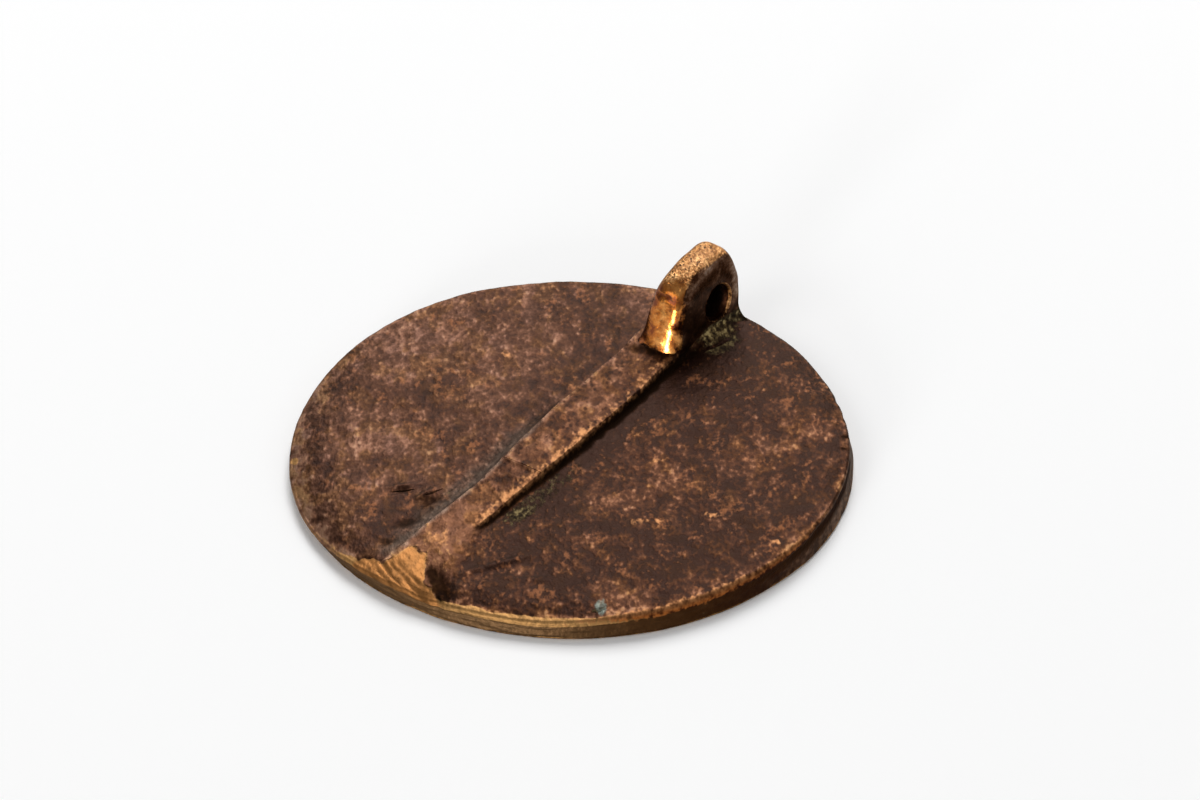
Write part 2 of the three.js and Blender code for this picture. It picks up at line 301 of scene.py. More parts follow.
def toe_share(y):
    """How far a place is from the crease to the rim: 0 at the crease, 1 at the rim."""
    return np.clip((CREASE_Y - y) / TOE_LENGTH, 0, 1.05)


def strip_right(y):
    """The strip's upper right edge, a little uneven."""
    return along_list(y, STRIP_RIGHT) + 0.02 * grain(0 * y, y, 7.0, 1.3) + 0.014 * grain(0 * y, y, 7.5, 0.35)


def strip_left(y):
    """The strip's upper left edge, a little uneven."""
    return along_list(y, STRIP_LEFT) + 0.03 * grain(0 * y, y, 8.0, 1.6) + 0.02 * grain(0 * y, y, 8.5, 0.45)


def strip_crest(x, y):
    """The strip's height: level up to the crease, then falling to the rim by the share of the way to the
    power 0.8, less the square of the share from its middle, with a ridge and a groove at the crease."""
    fall = mix(STRIP_HEIGHT, 0.05, toe_share(y) ** 0.8)
    away = (x - STRIP_MIDDLE) / 1.2
    ridge = 0.035 * spot(x, y, (-0.7, CREASE_Y + 0.05), (1.1, 0.14))
    groove = 0.02 * spot(x, y, (-0.7, CREASE_Y - 0.25), (1.1, 0.18))
    uneven = 0.02 * grain(x, y, 9.0, 0.7) + 0.02 * grain(x, y, 9.5, 2.2)
    return fall - 0.03 * np.clip(away, -1, 1) ** 2 + ridge - groove + uneven


def right_flank(x, y):
    """1 on the strip and 0 right of it: a steep step, which softens into the plate towards the rim."""
    soft = ease(-y, 7.3, 8.6)
    width = mix(0.11, 0.9, soft)
    round_over = mix(0.11, 0.4, soft)
    return drop(x, strip_right(y) - round_over, strip_right(y) + width)


def hollow_width(y):
    """Width of the hollow run at the strip's left: narrow by the lug and at the rim, broad along the toe."""
    return mix(0.22, 1.05, ease(-y, -4.0, 2.5)) * mix(1, 0.6, ease(-y, 8.0, 12.0))


def left_hollow(x, y):
    """1 on the strip and 0 left of it: a hollow curve, the share of the way out squared."""
    out = np.clip((strip_left(y) - x) / hollow_width(y), 0, 1)
    return (1 - out) ** 2 * mix(1, 0.86, ease(out, 0, 0.12))


def strip_rise(x, y):
    """Height of the strip, its toe and its flanks above the plate's back."""
    return strip_crest(x, y) * right_flank(x, y) * left_hollow(x, y)


def back_surface(x, y):
    """The whole back: plate, strip, toe and flanks, less what the file took at the rim."""
    return back_rise(x, y) + strip_rise(x, y) - filed_cut(x, y)


# Meshes

def face_rows(rows, columns, closed_rows):
    """Quads between neighbouring rows of points, each row closed on itself, and the rows too if asked."""
    first = np.arange(rows if closed_rows else rows - 1)[:, None]
    column = np.arange(columns)[None, :]
    after, beside = (first + 1) % rows, (column + 1) % columns
    corners = [(first, column), (first, beside), (after, beside), (after, column)]
    return np.stack([row * columns + place for row, place in corners], axis=-1).reshape(-1, 4)


def in_scene(name, data):
    """A new object of the scene, which shows this mesh, lamp or lens."""
    thing = bpy.data.objects.new(name, data)
    bpy.context.scene.collection.objects.link(thing)
    return thing


def closed_skin(name, finish, slot, stands_for, rows, marks, closed_rows=False):
    """A closed mesh from rows of points in mm, each a ring. The first and last ring close on a middle
    point, unless the rows join up. Each mark is a level for every point, for the finish to read."""
    count, columns = rows.shape[:2]
    points = rows.reshape(-1, 3)
    quads = face_rows(count, columns, closed_rows)
    faces = quads.tolist()
    if not closed_rows:
        ring = np.arange(columns)
        beside = (ring + 1) % columns
        last, middle = (count - 1) * columns, len(points) + 0 * ring
        faces += np.stack([beside, ring, middle], axis=-1).tolist()
        faces += np.stack([last + ring, last + beside, middle + 1], axis=-1).tolist()
        points = np.vstack([points, rows[0].mean(axis=0), rows[-1].mean(axis=0)])
    # Its sign says whether the faces look outwards
    a, b, c, d = (points[quads[:, i]] for i in range(4))
    volume = np.einsum("ij,ij->", a + c, np.cross(b - a, d - a) + np.cross(d - c, b - c))
    mesh = bpy.data.meshes.new(name)
    mesh.from_pydata((points * MM).tolist(), [], faces)
    mesh.polygons.foreach_set("use_smooth", [True] * len(faces))
    if volume < 0:
        mesh.flip_normals()
    for mark, level in marks.items():
        values = np.broadcast_to(level, (count, columns)).reshape(-1)
        values = np.pad(values, (0, len(points) - len(values)), mode="edge")
        mesh.attributes.new(mark, "FLOAT", "POINT").data.foreach_set("value", values.astype(np.float32))
    mesh.validate()
    mesh.materials.append(finish)
    piece = in_scene(name, mesh)
    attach(piece, "root")
    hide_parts(stands_for)
    return piece


# Where the metal is worn bright, dirty or green, for the finishes to read

def rim_polish(x, y):
    """Bright wear along the plate's upper edge, as wide as the readings say, with an uneven border."""
    angle = np.arctan2(y, x)
    inward = back_edge(angle) - np.hypot(x, y)
    width = round_rim(angle, RIM_WEAR, 2) * (1 + 0.35 * grain(x, y, 12.0, 0.8))
    return round_rim(angle, RIM_WEAR) * drop(inward, 0.5 * width, 1.5 * width)


# Small spots of bare orange metal: place, two half sizes
ORANGE_SPOTS = [
    (5.88, -3.29, 0.42, 0.26), (6.65, -2.76, 0.22, 0.2), (8.3, -1.07, 0.5, 0.22),
    (11.8, -1.05, 0.36, 0.22), (4.1, 1.0, 0.3, 0.16), (-6.4, 3.85, 0.3, 0.25),
]

# Broad patches where the patina is paler or darker: place, half size, how much paler
PATCHES = [
    (-11.2, 2.5, 1.3, 0.2), (-9.3, -0.1, 1.0, 0.14), (-7.2, 3.4, 1.2, 0.08),
    (-5.7, 1.5, 1.0, 0.13), (-7.2, -4.1, 1.2, 0.16), (-7.7, -6.1, 0.9, 0.14),
    (-5.7, -7.5, 0.8, 0.16), (-5.4, 6.4, 0.9, 0.08), (-3.6, 8.6, 1.4, -0.2),
    (-6.2, 10.2, 1.1, -0.08), (-10.3, 4.9, 1.1, 0.1), (-8.3, 8.3, 1.2, 0.03),
    (-3.6, 10.9, 1.0, 0.08), (4.7, -5.8, 0.9, 0.14), (5.9, -3.3, 0.35, 0.1),
    (4.3, -2.5, 0.6, 0.1), (5.7, 0.3, 1.1, 0.14), (3.8, 0.8, 0.9, 0.1), (4.0, -2.7, 0.9, 0.16),
    (7.0, 3.0, 1.2, 0.14), (8.5, 6.9, 1.0, 0.22), (8.0, 4.7, 1.1, 0.14), (12.2, -0.6, 0.8, 0.16),
    (7.8, -8.0, 0.9, 0.16), (3.4, -8.9, 0.6, 0.16), (10.6, 3.0, 1.0, 0.08), (6.0, 9.6, 1.2, 0.06),
    (-11.1, -2.3, 0.6, -0.1), (-9.8, -6.7, 1.2, -0.06), (-7.9, -8.6, 1.0, -0.06),
    (-7.8, -1.0, 1.0, -0.16), (-4.9, -2.2, 1.0, -0.16), (-4.2, -7.0, 0.8, -0.08),
    (-4.0, -9.6, 1.2, -0.16), (-2.8, 3.9, 1.1, -0.26), (-2.7, 6.2, 1.1, -0.22),
    (-2.9, 0.9, 0.9, -0.18), (-8.2, 6.1, 1.1, -0.1), (-3.0, -4.4, 0.8, -0.12),
    (4.4, 3.1, 1.1, -0.1), (9.6, -1.1, 0.9, -0.16), (9.8, 3.6, 0.9, -0.1),
    (8.8, -5.6, 0.9, -0.12), (5.4, -8.8, 1.0, -0.18), (9.7, -4.1, 0.9, -0.12),
    (6.9, -3.8, 0.6, -0.14), (1.9, 7.1, 1.3, -0.28), (1.4, 3.8, 0.9, -0.2),
    (1.4, -0.4, 0.8, -0.18), (1.3, -4.5, 0.9, -0.18), (3.2, 11.0, 1.3, -0.16),
    (3.9, 6.5, 1.1, -0.12), (3.0, -11.2, 1.0, -0.16), (1.6, -7.5, 0.9, -0.1),
]

# Dirt in dents and in nicks of the rim: how dark, place, half sizes, turn in degrees
DIRTY_SPOTS = [
    (0.6, (-2.72, -9.1), (0.55, 0.2), 62), (0.6, (-2.7, -7.15), (0.4, 0.2), 80),
    (0.6, (-2.55, -10.6), (0.4, 0.2), 55), (0.8, (10.6, 6.6), (0.22, 0.12), 40),
    (0.8, (10.2, 7.4), (0.22, 0.12), 40), (0.8, (-10.4, -7.5), (0.35, 0.15), 30),
    (0.9, (1.6, -12.45), (0.3, 0.12), -20),
]

# Green corrosion at the front rim, in the hollow and by the lug: how much, place, half sizes, turn
GREEN_SPOTS = [
    (1.2, (7.87, -9.3), (0.4, 0.16), 50), (0.4, (7.4, -7.3), (0.3, 0.15), 0),
    (0.6, (-2.35, -6.1), (0.5, 0.2), 85), (0.45, (1.24, -5.67), (0.6, 0.35), 60),
    (0.85, (1.35, 10.4), (0.65, 1.4), 0), (0.35, (2.1, 10.1), (1.0, 1.4), 0),
]


def plate_tone_and_painted_light(x, y):
    """How light the patina is drawn: lighter at the left and darker at the right, partly its own tone and
    partly painted light and shade; paler towards the rim; darker right beside the strip, partly darker patina
    and partly painted shade cast by the strip and lug; with broad patches and a band of paler copper along
    the rim."""
    # Painted light and shade over the patina's own tone: lighter at the left, darker at the right.
    tone_and_painted_light = mix(0.032, -0.034, ease(x, -1.8, 1.5)) - 0.05 * ease(y, 4.0, 8.0) * (x < 0)
    tone_and_painted_light = tone_and_painted_light + 0.05 * grain(x, y, 20.0, 2.2) + 0.03 * ease(np.hypot(x - 1, y + 1), 8.0, 12.0)
    # Painted shade with darker patina: a band right beside the strip, where the strip and lug cast shade.
    beside = x - strip_right(y)
    shade = between(beside, 0.1, 0.3, 0.7, 1.6) * ease(y, -7.5, -5.5) * (y < 12)
    tone_and_painted_light = tone_and_painted_light - 0.14 * shade
    angle = np.arctan2(y, x)
    inward = (back_edge(angle) - np.hypot(x, y)) / round_rim(angle, RIM_COPPER, 2)
    tone_and_painted_light = tone_and_painted_light + round_rim(angle, RIM_COPPER) * drop(inward + 0.5 * grain(x, y, 22.0, 0.5), 0.3, 1.4)
    for at_x, at_y, size, more in PATCHES:
        tone_and_painted_light = tone_and_painted_light + more * spot(x, y, (at_x, at_y), (size, size))
    return tone_and_painted_light


def bare_orange(x, y):
    """Bare orange metal: the strip's rounded right side, the toe above its filed end, and small spots."""
    beside = x - strip_right(y)
    side = between(beside, -0.9, -0.1, 0.0, 0.05) * drop(-y, 7.3, 8.2)
    bare = side * mix(0.62, 0.42, ease(y, -2.0, 3.0)) * (1 + 0.4 * grain(x, y, 17.0, 0.45))
    for at_x, at_y, long, short in ORANGE_SPOTS:
        bare = np.maximum(bare, 0.62 * spot(x, y, (at_x, at_y), (long, short), VIEW_DEGREES))
    return np.maximum(bare, 0.42 * spot(x, y, (-0.75, -9.5), (0.75, 1.3)))


def corner_shade_and_dirt(x, y):
    """Near black in the corner right of the strip, painted shade of the strip's flank with dirt; dirt and
    painted shade at the lug's foot; dirt in dents and between the file's strokes.
    """
    beside = x - strip_right(y)
    reach = mix(0.12, 0.24, ease(y, -6.0, 2.0)) * (1 + 0.25 * grain(x, y, 16.0, 0.5))
    # Painted shade: the strip's steep right flank and the corner at its foot are drawn near black, with dirt.
    corner = between(beside, -0.05, 0.02, 0.6 * reach, 1.6 * reach)
    corner = corner * drop(-y, 7.4, 8.2) * (y < 12) * mix(0.85, 1.15, ease(y, -3.0, -1.0))
    # Dirt and painted shade before the lug's foot.
    foot = 0.9 * spot(x, y, (-0.7, 7.3), (0.85, 0.3), 6) * (1 + 0.6 * grain(x, y, 14.0, 0.3))
    strokes = file_strokes(x, y)
    filed = 0.55 * filed_share(x, y) * ease(strokes, 0.1, 0.8)
    above = 0.45 * spot(x, y, (-0.95, -10.0), (0.9, 0.6)) * ease(strokes, 0.0, 0.8)
    return np.clip(corner + foot + spots(x, y, DIRTY_SPOTS) + filed + above, 0, 1)


def plate_green(x, y):
    """Green corrosion: faint right of the strip, and its spots."""
    beside = x - strip_right(y)
    run = between(beside, 0.05, 0.3, 0.8, 1.8) * between(y, -9.0, -5.5, -3.5, 2.5)
    return np.clip(0.55 * run + spots(x, y, GREEN_SPOTS), 0, 1)


def back_marks(x, y):
    """The marks of any place on the back: worn bright metal, dirt with painted shade, green, the smooth run,
    tone with painted light and shade, and so on.
    """
    past_right, past_left = x - strip_right(y), x - strip_left(y)
    on_strip = right_flank(x, y) * (left_hollow(x, y) > 0.8)
    toe = ease(toe_share(y), 0.05, 0.75) * on_strip
    by_lug = y < LUG_FRONT_Y

    edges = (bell(past_right, -0.05, 0.07) + bell(past_left, 0.03, 0.08)) * drop(-y, 7.0, 9.5) * by_lug
    crease = 0.5 * spot(x, y, (-0.2, CREASE_Y + 0.05), (0.5, 0.1))
    nick = spot(x, y, (-9.85, -7.9), (0.3, 0.2), -40)
    worn = 0
    for wear in (rim_polish(x, y), 0.85 * filed_share(x, y), 0.28 * edges, 0.28 * toe, crease, nick):
        worn = np.maximum(worn, wear)

    out = 0.15 * grain(x, y, 18.0, 0.4) - past_left
    run = ease(out, -0.24, 0.18) * (1 - 0.7 * ease(out, 0.3, 0.7)) * drop(out, 0.7, 1.2)
    run = run * between(-y, -1.5, 2.0, 10.5, 11.8) * by_lug

    mottle = grain(x, y, 21.0, 0.42) + 0.5 * grain(x, y, 21.5, 0.9)
    blotches = ease(mottle, 0.1, 0.55) * mix(0.3, 0.1, toe)
    pale_edge = bell(past_left, 0.07, 0.09) * mix(1.0, 1.9, ease(y, 0.0, 4.0))
    dark_corner = ease(x, -0.3, 0.7) * ease(-y, 7.8, 9.2)
    strip_tone = 0.125 - 0.9 * blotches + 0.14 * pale_edge - 0.22 * dark_corner
    return {
        "worn": np.clip(worn, 0, 1),
        "dirt_and_shade": corner_shade_and_dirt(x, y),
        "green": plate_green(x, y),
        "smooth": run,
        "tone_and_painted_light": plate_tone_and_painted_light(x, y) + strip_tone * on_strip,
        "copper": ease(past_left, -0.1, 0.3),
        "orange": bare_orange(x, y),
        "filed": filed_share(x, y),
        "back": 1 + 0 * x,
        "speckled": ease(past_right, 0, 0.4) - 0.3 * on_strip - 1.1 * toe,
        "pitted": on_strip * mix(1.0, 0.7, toe),
    }


# Finishes

# How far the finishes' patterns are drawn out away from the front
PATTERN_STRETCH = 1.6


class Finish:
    """Builds one finish. Its patterns read Object coordinates in mm, and its marks are read off the piece."""

    def __init__(self, name):
        self.material = bpy.data.materials.new(name)
        self.material.use_nodes = True
        self.tree = self.material.node_tree
        self.tree.nodes.clear()
        self.bare_place = self.node("TexCoord")["Object"]
        self.place = self.within((0, 0, 0), VIEW_DEGREES, (1, PATTERN_STRETCH, 1))

    def node(self, kind, inputs=None, **settings):
        """The outputs of a new shader node. An input is a number, a colour or another node's output."""
        node = self.tree.nodes.new("ShaderNode" + kind)
        for key, value in settings.items():
            setattr(node, key, value)
        for key, value in (inputs or {}).items():
            if isinstance(value, bpy.types.NodeSocket):
                self.tree.links.new(value, node.inputs[key])
            else:
                node.inputs[key].default_value = value
        return node.outputs

    def within(self, at, turn, units):
        """The place in a frame at this point, turned by these degrees from +X. Its three units are in mm."""
        inputs = {"Vector": self.bare_place, "Rotation": (0, 0, math.radians(turn))}
        inputs |= {"Location": [MM * away for away in at], "Scale": [MM * unit for unit in units]}
        return self.node("Mapping", inputs, vector_type="TEXTURE")[0]

    def noise(self, spacing, detail=2.0, roughness=0.5, distortion=0.0):
        """Smooth noise, 0 to 1, with this many finer layers, each as strong as the roughness says."""
        inputs = {"Vector": self.place, "Scale": 1 / spacing, "Detail": detail}
        inputs |= {"Roughness": roughness, "Distortion": distortion}
        return self.node("TexNoise", inputs)["Fac"]

    def pits(self, spacing, low, high):
        """Small round pits, 1 in their middles, from the distance to scattered points."""
        inputs = {"Vector": self.place, "Scale": 1 / spacing, "Randomness": 1.0}
        return self.step(self.node("TexVoronoi", inputs)["Distance"], high, low)

    def far_from_middle(self, place):
        """How far a place is from the middle of its frame."""
        return self.node("VectorMath", {0: place}, operation="LENGTH")["Value"]

    def ragged(self, at, size, turn):
        """A ragged ellipse, 1 inside: its middle and half sizes in mm, and its turn in degrees."""
        # So long a unit upwards makes heights count for nothing
        place = self.within((*at, 0), turn, (*size, 1000))
        uneven = self.sum(0.0, (self.far_from_middle(place), 1.0), (self.noise(0.25, 3.0, 0.6), 1.2))
        return self.step(uneven, 1.75, 1.25)

    def mark(self, name):
        """A mark of the piece, or 0 where the piece has none of this name."""
        return self.node("Attribute", attribute_name=name)["Fac"]

    def sum(self, *terms):
        """Adds outputs, each with its own weight, to a starting number."""
        total, rest = terms[0], terms[1:]
        for output, weight in rest:
            total = self.node("Math", {0: output, 1: weight, 2: total}, operation="MULTIPLY_ADD")[0]
        return total

    def times(self, a, b):
        """The product of two outputs."""
        return self.node("Math", {0: a, 1: b}, operation="MULTIPLY")[0]

    def step(self, value, low, high):
        """0 at low, 1 at high, and a smooth S between them."""
        inputs = {"Value": value, "From Min": low, "From Max": high}
        return self.node("MapRange", inputs, interpolation_type="SMOOTHSTEP")[0]

    def blend(self, share, start, end, how="MIX"):
        """The start colour at share 0, the end colour at share 1, and their mixture between."""
        start, end = ((*colour, 1) if isinstance(colour, tuple) else colour for colour in (start, end))
        inputs = {0: share, 6: start, 7: end}
        return self.node("Mix", inputs, data_type="RGBA", blend_type=how, clamp_factor=True)[2]

    def tinted(self, share, colour, by):
        """The colour multiplied by another, as far as the share says."""
        return self.blend(share, colour, by, "MULTIPLY")

    def ramp(self, value, stops):
        """A colour for each value: straight lines between the stops, each a value and a colour."""
        output = self.node("ValToRGB", {"Fac": value})["Color"]
        elements = output.node.color_ramp.elements
        while len(elements) < len(stops):
            elements.new(0.5)
        for element, (position, colour) in zip(elements, stops):
            element.position, element.color = position, (*colour, 1)
        return output

    def ended(self, surface):
        """The finished material."""
        self.node("OutputMaterial", {"Surface": surface})
        return self.material

    def metal(self, colour, metallic, roughness, relief, depth, dull, coat=0.0):
        """Ends the finish in one metal surface. The relief's full height is depth, in metres. Dull takes away
        the colour of the sheen, and coat adds a glossy layer."""
        bump = self.node("Bump", {"Height": relief, "Strength": 1.0, "Distance": depth})[0]
        tint = self.ramp(dull, [(0.0, (0.92, 0.82, 0.74)), (1.0, (0.05, 0.03, 0.02))])
        inputs = {"Base Color": colour, "Metallic": metallic, "Roughness": roughness, "Normal": bump}
        inputs |= {"Specular Tint": tint, "Specular IOR Level": 0.1}
        inputs |= {"Coat Weight": coat, "Coat Roughness": 0.18}
        return self.ended(self.node("BsdfPrincipled", inputs)[0])


# Colour ramps, each a list of values and colours: the patina, the rim's wall, and what lies on them
PATINA = [
    (0.2, (0.015, 0.005, 0.003)),
    (0.4, (0.041, 0.0152, 0.0078)),
    (0.5, (0.066, 0.0275, 0.015)),
    (0.6, (0.112, 0.05, 0.03)),
    (0.68, (0.16, 0.077, 0.047)),
    (0.8, (0.225, 0.122, 0.075)),
]
RIM_WALL = [
    (0.0, (0.022, 0.004, 0.001)),
    (0.25, (0.048, 0.018, 0.005)),
    (0.55, (0.075, 0.034, 0.012)),
    (0.95, (0.134, 0.073, 0.032)),
]
SMOOTH_RUN = [(0.3, (0.082, 0.058, 0.044)), (0.5, (0.14, 0.103, 0.08)), (0.72, (0.21, 0.165, 0.13))]
BARE_COPPER = [(0.35, (0.13, 0.052, 0.02)), (0.52, (0.25, 0.108, 0.042)), (0.68, (0.37, 0.172, 0.07))]
BLUE_BLOOM = [(0.35, (0.05, 0.056, 0.046)), (0.62, (0.15, 0.185, 0.16))]
GREEN_CRUMBS = [(0.4, (0.016, 0.009, 0.004)), (0.54, (0.08, 0.053, 0.022)), (0.68, (0.26, 0.195, 0.085))]
PALE_BRASS = (0.37, 0.197, 0.07)

# Ragged marks of the back: place, half sizes in mm, turn in degrees, and how dark for the cracks
BLOOM = (7.85, -9.12), (0.5, 0.26), 124.5
CRACKS = [
    ((-4.2, -7.25), (0.62, 0.055), 46, 1.0), ((-2.95, -6.65), (0.45, 0.05), 70, 0.7),
    ((0.95, -11.7), (1.35, 0.36), -36, 0.75),
]

# The lug's ramps: its dark flanks, darkened as painted shade and pale at the top for painted light, its
# golden front and its tan crest
LUG_FLANK = [
    (0.4, (0.012, 0.003, 0.001)), (0.56, (0.05, 0.018, 0.008)), (0.7, (0.17, 0.088, 0.052)),
    (0.85, (0.34, 0.24, 0.18)),
]
LUG_GOLDEN = [(0.36, (0.19, 0.037, 0.002)), (0.5, (0.48, 0.145, 0.013)), (0.64, (0.75, 0.32, 0.075))]
LUG_TAN = [(0.38, (0.12, 0.045, 0.017)), (0.5, (0.4, 0.185, 0.068)), (0.62, (0.7, 0.395, 0.17))]
LUG_CRUMBS = [(0.4, (0.014, 0.009, 0.004)), (0.55, (0.07, 0.046, 0.019)), (0.7, (0.3, 0.23, 0.11))]


def crusted(f, colour, crumbs):
    """The colour under green corrosion, a crust of crumbs where the mark says, and the crust's share."""
    green = f.step(f.sum(0.0, (f.mark("green"), 0.75), (f.noise(0.28, 4.0, 0.7), 0.8)), 0.72, 1.0)
    return f.blend(green, colour, f.ramp(f.noise(0.21, 2.0, 0.6), crumbs)), green


def alloy(name, worn_start, crumb_light=1.0):
    """Patinated copper alloy: dark crust, copper speckles in three sizes, bare worn metal, dirt with painted
    shade, and green. The higher worn_start, the more metal is bare, and crumb_light lightens the green."""
    f = Finish(name)
    fine = f.noise(0.19, 1.0, 0.5)
    medium = f.noise(0.6, 2.0, 0.55)
    broad = f.noise(2.6, 3.0, 0.55)
    grains = f.times(f.pits(0.28, 0.06, 0.55), f.step(medium, 0.38, 0.62))

    # How far the crust is gone, with small hollows and a stronger contrast where marked
    exposed = f.sum(-0.325, (fine, 0.62), (medium, 0.6), (grains, 0.19), (broad, 0.22))
    # The tone mark adds painted light and shade as well as the patina's own tone.
    exposed = f.sum(exposed, (f.mark("tone_and_painted_light"), 0.75))
    hollows = f.times(f.pits(0.26, 0.14, 0.46), f.step(f.noise(0.5, 2.0), 0.44, 0.58))
    exposed = f.sum(exposed, (f.times(f.mark("pitted"), hollows), -0.26))
    exposed = f.sum(exposed, (f.times(f.mark("speckled"), f.sum(-0.77, (exposed, 1.0))), 0.33))

    # Patina, with olive, bluish and orange patches, the smooth run and the rim's wall
    patina = f.tinted(f.mark("copper"), f.ramp(exposed, PATINA), (1.0, 0.915, 0.77))
    olive = f.times(f.step(f.noise(0.9, 3.0, 0.6), 0.47, 0.6), 0.8)
    patina = f.tinted(olive, patina, (1.02, 0.99, 0.66))
    bluish = f.times(f.step(f.noise(1.1, 3.0, 0.6), 0.5, 0.62), 0.8)
    patina = f.tinted(bluish, patina, (0.9, 0.93, 1.04))
    rusty = f.step(f.sum(0.0, (f.noise(0.8, 4.0, 0.65), 0.8), (fine, 0.3)), 0.61, 0.74)
    patina = f.blend(f.times(rusty, 0.45), patina, (0.2, 0.074, 0.029))
    patina = f.blend(f.times(f.mark("smooth"), 0.58), patina, f.ramp(exposed, SMOOTH_RUN))
    rim = f.ramp(f.sum(-0.22, (f.mark("pale"), 1.0), (medium, 0.25), (fine, 0.2)), RIM_WALL)
    patina = f.blend(f.mark("wall"), patina, rim)

    # Metal rubbed bare, and orange copper, redder on the rim's wall
    worn = f.step(f.sum(worn_start, (f.mark("worn"), 1.25), (fine, 0.6), (medium, 0.4)), 0.5, 0.9)
    half_brass = tuple(0.5 * channel for channel in PALE_BRASS)
    rubbed = f.ramp(f.sum(0.0, (medium, 0.5), (fine, 0.5)), [(0.32, half_brass), (0.58, PALE_BRASS)])
    colour = f.blend(worn, patina, f.tinted(f.mark("filed"), rubbed, (0.9, 0.73, 0.62)))
    orange = f.step(f.sum(0.0, (f.mark("orange"), 1.0), (fine, 1.0), (medium, 0.6)), 1.05, 1.55)
    copper = f.tinted(f.mark("wall"), f.ramp(fine, BARE_COPPER), (0.95, 0.62, 0.3))
    colour = f.blend(orange, colour, copper)

    # Green crust, the blue-green bloom at the rim, cracks, and dirt with painted shade
    crumbs = [(at, tuple(crumb_light * channel for channel in shade)) for at, shade in GREEN_CRUMBS]
    colour, green = crusted(f, colour, crumbs)
    bloom = f.times(f.ragged(*BLOOM), f.mark("back"))
    colour = f.blend(f.times(bloom, 0.8), colour, f.ramp(fine, BLUE_BLOOM))
    cracks = f.sum(0.0, *((f.ragged(at, size, turn), dark) for at, size, turn, dark in CRACKS))
    dirt_and_shade = f.sum(0.0, (f.times(cracks, f.mark("back")), 1.0), (f.mark("dirt_and_shade"), 1.0))
    # Near black where dirt lies, and as painted shade: the strip's right flank, the lug's foot and the rim's
    # steep right wall.
    colour = f.blend(f.times(dirt_and_shade, 0.93), colour, (0.01, 0.005, 0.002))

    metallic = f.sum(0.75, (worn, 0.05), (green, -0.55), (dirt_and_shade, -0.1))
    roughness = f.sum(0.42, (worn, 0.02), (green, 0.3), (fine, 0.15), (dirt_and_shade, 0.3))
    relief = f.sum(0.0, (fine, 0.42), (medium, 0.34), (grains, 0.1), (f.noise(0.07, 2.0), 0.1))
    relief = f.sum(relief, (green, 0.3), (dirt_and_shade, -0.3))
    return f.metal(colour, metallic, roughness, relief, 0.00007, dirt_and_shade)


def worn_metal(name):
    """The lug's finish: golden and glossy in front, darker at its left as painted shade, tan and pitted on
    the crest, dark brown on the flanks with painted shade, and paler along their top rear edge as painted
    light.
    """
    f = Finish(name)
    crest, dirt_and_shade = f.mark("crest"), f.mark("dirt_and_shade")
    fine = f.noise(0.11, 3.0, 0.65)
    medium = f.noise(0.55, 3.0, 0.55, 0.4)
    pits = f.times(f.pits(0.17, 0.14, 0.36), f.step(f.noise(0.5, 2.0), 0.34, 0.52))

    # The rear mark lightens the flanks' ramp: painted light along the right flank's top and rear edge.
    flank = f.ramp(f.sum(0.0, (medium, 0.6), (fine, 0.4), (f.mark("rear"), 0.27)), LUG_FLANK)
    # The shaded mark darkens the golden front: painted shade on its left.
    golden = f.ramp(f.sum(0.0, (medium, 0.8), (fine, 0.2), (f.mark("shaded"), -0.08)), LUG_GOLDEN)
    tan = f.ramp(f.sum(0.0, (medium, 0.4), (fine, 0.6)), LUG_TAN)
    worn = f.step(f.sum(-0.46, (f.mark("worn"), 1.0), (fine, 0.4), (medium, 0.52)), 0.36, 0.62)
    colour = f.blend(worn, flank, f.blend(crest, golden, tan))
    pitted = f.times(f.times(pits, worn), f.sum(0.15, (crest, 0.75)))
    colour = f.blend(pitted, colour, (0.045, 0.018, 0.008))
    colour, green = crusted(f, colour, LUG_CRUMBS)
    # Near black where dirt lies, and as painted shade: inside the hole and at the foot.
    colour = f.blend(f.times(dirt_and_shade, 0.95), colour, (0.006, 0.004, 0.003))

    metallic = f.sum(0.94, (worn, 0.06), (green, -0.8), (dirt_and_shade, -0.3))
    roughness = f.sum(0.4, (worn, -0.24), (crest, 0.16), (green, 0.3), (fine, 0.08), (dirt_and_shade, 0.3))
    crest_relief = f.times(crest, f.sum(0.0, (fine, 0.7), (pits, -0.3)))
    relief = f.sum(0.0, (fine, 0.04), (medium, 0.25), (crest_relief, 1.0), (green, 0.3))
    gloss = f.times(f.times(worn, 0.5), f.sum(1.0, (crest, -0.9), (dirt_and_shade, -0.9)))
    dull = f.sum(0.0, (dirt_and_shade, 1.0), (crest, 0.35))
    return f.metal(colour, metallic, roughness, relief, 0.00012, dull, gloss)


patinated = alloy("patinated_alloy", -0.42)
filed = alloy("filed_alloy", -0.36)
worn_lug = worn_metal("worn_alloy")
corroded = alloy("corroded_fillet", -0.5, 1.8)


# Plate: its back and rim, then its die face

RING_POINTS = 600
ROUND = np.linspace(0, 2 * math.pi, RING_POINTS, endpoint=False)[None, :]


def turned(radius, level, angle=ROUND):
    """Points of rings round the plate, from a radius and a height for each ring and angle."""
    return np.stack([radius * np.cos(angle), radius * np.sin(angle), level + 0 * angle], axis=-1)


# The rim's wall: degrees, how pale its metal is, how far it differs from the back's patina
WALL = np.array([
    (0, 0.3, 0.4), (60, 0.3, 0.4), (150, 0.5, 0.5), (185, 0.75, 0.8), (205, 0.88, 0.9), (235, 0.95, 0.9),
    (262, 0.95, 0.9), (272, 0.72, 0.9), (284, 0.45, 0.9), (296, 0.24, 0.9), (310, 0.1, 0.9),
    (322, 0.16, 0.8), (332, 0.3, 0.5), (345, 0.3, 0.4),
])


